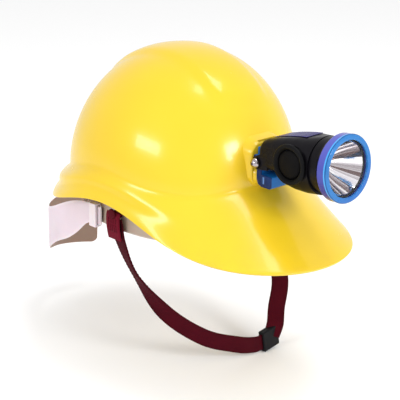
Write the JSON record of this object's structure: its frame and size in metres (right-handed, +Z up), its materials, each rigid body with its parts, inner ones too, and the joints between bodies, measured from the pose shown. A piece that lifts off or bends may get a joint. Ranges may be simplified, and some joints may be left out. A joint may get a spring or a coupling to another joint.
{
  "type": "miner's cap lamp",
  "caption": "Mining helmet with a head suspension, nape and chin straps, and a cordless cap lamp that docks on its front boss and tilts.",
  "frame": {"origin": "the point on the wearer's head axis that the headband sits round, at the level of the mount head_seat, near the headband's lower edge", "axes": "+Z up, -Y forward towards the peak and the lamp, +X towards the wearer's left"},
  "size_m": [0.2144, 0.3509, 0.2859],
  "materials": {
    "shell_yellow": "glossy moulded yellow",
    "band_white": "satin translucent white",
    "foam": "soft foam covered in fabric",
    "webbing_maroon": "woven webbing",
    "webbing_pale": "woven webbing",
    "plastic_black": "satin black moulding",
    "bracket_blue": "glossy blue moulding",
    "bezel_blue": "glossy blue",
    "chrome": "polished",
    "steel": "plain",
    "rubber_black": "soft rubber",
    "lens_clear": "clear polycarbonate",
    "board": "solder mask",
    "aluminium": "turned",
    "cell_wrap": "shrink wrap",
    "phosphor": "phosphor under silicone",
    "contact": "plated",
    "label": "printed film"
  },
  "bodies": {
    "helmet": {"shell": "shell_yellow", "lamp_boss": "shell_yellow", "boss_screw_left": "steel", "boss_screw_right": "steel", "headband": "band_white", "sweatband": "foam", "lug_front_left": "band_white", "lug_front_right": "band_white", "lug_rear_left": "band_white", "lug_rear_right": "band_white", "crown_strap_1": "webbing_pale", "crown_strap_2": "webbing_pale", "crown_strap_3": "webbing_pale", "nape_keeper_left": "band_white", "nape_keeper_right": "band_white", "strap_stud_left": "band_white", "strap_stud_right": "band_white"},
    "dock": {"bracket": "bracket_blue"},
    "lamp": {"rear_housing": "plastic_black", "head_barrel": "plastic_black", "bezel_ring": "bezel_blue", "lens": "lens_clear", "lens_seal": "rubber_black", "reflector": "chrome", "led_emitter": "phosphor", "led_board": "board", "heat_sink": "aluminium", "driver_board": "board", "battery_pack": "cell_wrap", "switch_collar": "plastic_black", "switch_body": "steel", "charge_stud_1": "contact", "charge_stud_2": "contact", "top_label": "label", "pivot_bolt": "chrome", "pivot_nut": "steel"},
    "button": {"power_button": "rubber_black"},
    "nape": {"nape_strap": "band_white"},
    "chin": {"chin_strap_right": "webbing_maroon", "chin_strap_left": "webbing_maroon", "buckle": "plastic_black", "strap_hook_right": "plastic_black", "strap_hook_left": "plastic_black"}
  },
  "joints": [
    {"name": "lamp_dock", "type": "slide", "parent": "helmet", "child": "dock", "axis": [0, 0, 1], "range_m": [0, 0.022]},
    {"name": "lamp_tilt", "type": "hinge", "parent": "dock", "child": "lamp", "pos_m": [0, -0.1105, 0.0707], "axis": [1, 0, 0], "range_deg": [-12, 12]},
    {"name": "power_button_press", "type": "slide", "parent": "lamp", "child": "button", "axis": [1, 0, 0], "range_m": [0, 0.0016], "stiffness_N_per_m": 500, "springref_m": -0.0006},
    {"name": "nape_adjust", "type": "slide", "parent": "helmet", "child": "nape", "axis": [0, -1, 0], "range_m": [0, 0.007]},
    {"name": "chin_strap_swing", "type": "hinge", "parent": "helmet", "child": "chin", "pos_m": [0, -0.004, 0.013], "axis": [1, 0, 0], "range_deg": [-15, 26]}
  ]
}
